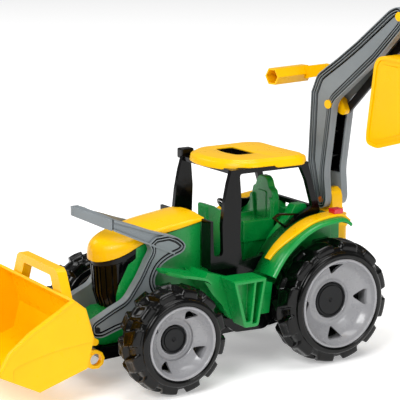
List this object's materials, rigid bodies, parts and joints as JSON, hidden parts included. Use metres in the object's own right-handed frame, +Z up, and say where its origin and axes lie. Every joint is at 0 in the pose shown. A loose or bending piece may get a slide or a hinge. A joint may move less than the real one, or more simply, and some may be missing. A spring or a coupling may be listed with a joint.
{
  "type": "toy backhoe loader",
  "caption": "Play backhoe loader with free-rolling wheels, a tipping front bucket on lifting arms, and a swinging rear digging arm worked by a lever.",
  "frame": {"origin": "under the middle of the bounding box, on the ground", "axes": "+Z up, -Y forward towards the front bucket, +X to the machine left side"},
  "size_m": [0.3912, 0.7362, 0.5372],
  "materials": {
    "yellow_plastic": "smooth moulded yellow plastic",
    "green_plastic": "smooth moulded green plastic",
    "grey_plastic": "satin moulded grey plastic",
    "rim_grey": "glossy light grey plastic",
    "black_plastic": "glossy black plastic",
    "tyre_black": "glossy black blow-moulded tyre",
    "charcoal": "satin charcoal plastic",
    "red_plastic": "glossy red plastic",
    "orange_plastic": "smooth orange plastic",
    "axle_steel": "bright drawn steel"
  },
  "bodies": {
    "chassis": {"chassis": "black_plastic", "body_shell": "green_plastic", "grille": "black_plastic", "lamp_band": "charcoal", "hood": "yellow_plastic", "cab_frame": "black_plastic", "roof": "yellow_plastic", "side_mirror": "black_plastic", "seat": "green_plastic", "steering_column": "black_plastic", "front_axle": "axle_steel", "rear_axle": "axle_steel", "rear_bracket": "yellow_plastic", "loader_pivot_bar": "charcoal", "swing_pin": "charcoal", "front_mudguard_left": "green_plastic", "front_mudguard_right": "green_plastic", "mudguard_left": "green_plastic", "mudguard_right": "green_plastic", "step_left": "green_plastic", "step_right": "green_plastic", "fender_trim_left": "yellow_plastic", "fender_trim_right": "yellow_plastic", "tail_light_left": "red_plastic", "tail_light_right": "red_plastic"},
    "steering": {"steering_wheel": "black_plastic"},
    "loader": {"loader_arm_left": "grey_plastic", "loader_arm_right": "grey_plastic", "loader_handle": "grey_plastic", "bucket_pin_left": "charcoal", "bucket_pin_right": "charcoal"},
    "front_bucket": {"front_bucket": "yellow_plastic"},
    "swing": {"swing_post": "yellow_plastic", "boom_pin": "orange_plastic"},
    "boom": {"boom_beam_left": "grey_plastic", "boom_beam_right": "grey_plastic", "boom_spine_lower": "charcoal", "boom_spine_upper": "charcoal", "elbow_pin": "yellow_plastic", "tip_pin": "yellow_plastic"},
    "lever": {"backhoe_lever": "yellow_plastic"},
    "push_rod": {"push_rod": "charcoal"},
    "dipper": {"dipper": "yellow_plastic", "backhoe_bucket_pin": "charcoal"},
    "backhoe_bucket": {"backhoe_bucket": "yellow_plastic"},
    "front_wheel_left": {"front_tyre_left": "tyre_black", "front_rim_left": "rim_grey", "front_hub_cap_left": "charcoal"},
    "front_wheel_right": {"front_tyre_right": "tyre_black", "front_rim_right": "rim_grey", "front_hub_cap_right": "charcoal"},
    "rear_wheel_left": {"rear_tyre_left": "tyre_black", "rear_rim_left": "rim_grey", "rear_hub_cap_left": "charcoal"},
    "rear_wheel_right": {"rear_tyre_right": "tyre_black", "rear_rim_right": "rim_grey", "rear_hub_cap_right": "charcoal"}
  },
  "joints": [
    {"name": "front_wheel_left_spin", "type": "hinge", "parent": "chassis", "child": "front_wheel_left", "pos_m": [-0.04472, -0.09055, 0.0796], "axis": [1, 0, 0], "continuous": true},
    {"name": "front_wheel_right_spin", "type": "hinge", "parent": "chassis", "child": "front_wheel_right", "pos_m": [-0.04472, -0.09055, 0.0796], "axis": [1, 0, 0], "continuous": true},
    {"name": "rear_wheel_left_spin", "type": "hinge", "parent": "chassis", "child": "rear_wheel_left", "pos_m": [-0.04472, 0.19295, 0.095], "axis": [1, 0, 0], "continuous": true},
    {"name": "rear_wheel_right_spin", "type": "hinge", "parent": "chassis", "child": "rear_wheel_right", "pos_m": [-0.04472, 0.19295, 0.095], "axis": [1, 0, 0], "continuous": true},
    {"name": "steering_turn", "type": "hinge", "parent": "chassis", "child": "steering", "pos_m": [-0.04472, 0.07895, 0.231], "axis": [0, 0.7431, 0.6691], "continuous": true},
    {"name": "loader_lift", "type": "hinge", "parent": "chassis", "child": "loader", "pos_m": [-0.04472, -0.08005, 0.106], "axis": [-1, 0, 0], "range_deg": [-6, 20]},
    {"name": "front_bucket_tilt", "type": "hinge", "parent": "loader", "child": "front_bucket", "pos_m": [-0.04472, -0.18005, 0.091], "axis": [-1, 0, 0], "range_deg": [-40, 22]},
    {"name": "backhoe_swing", "type": "hinge", "parent": "chassis", "child": "swing", "pos_m": [-0.04472, 0.27495, 0.2], "axis": [0, 0, 1], "range_deg": [-10, 166]},
    {"name": "boom_lift", "type": "hinge", "parent": "swing", "child": "boom", "pos_m": [-0.04472, 0.27495, 0.225], "axis": [0.2079, -0.9781, 0], "range_deg": [-55, 6]},
    {"name": "lever_turn", "type": "hinge", "parent": "boom", "child": "lever", "pos_m": [-0.03103, 0.27786, 0.379], "axis": [0.2079, -0.9781, 0], "range_deg": [-8, 28]},
    {"name": "push_rod_turn", "type": "hinge", "parent": "lever", "child": "push_rod", "pos_m": [-0.01965, 0.28027, 0.36801], "axis": [0.2079, -0.9781, 0], "range_deg": [-28, 8]},
    {"name": "dipper_turn", "type": "hinge", "parent": "boom", "child": "dipper", "pos_m": [0.10298, 0.30634, 0.524], "axis": [0.2079, -0.9781, 0], "range_deg": [-8, 28]},
    {"name": "backhoe_bucket_curl", "type": "hinge", "parent": "dipper", "child": "backhoe_bucket", "pos_m": [0.18221, 0.32318, 0.452], "axis": [0.2079, -0.9781, 0], "range_deg": [-4, 70]}
  ],
  "couplings": [
    {"joint": "dipper_turn", "follows": "lever_turn", "ratio": 1},
    {"joint": "push_rod_turn", "follows": "lever_turn", "ratio": -1}
  ]
}
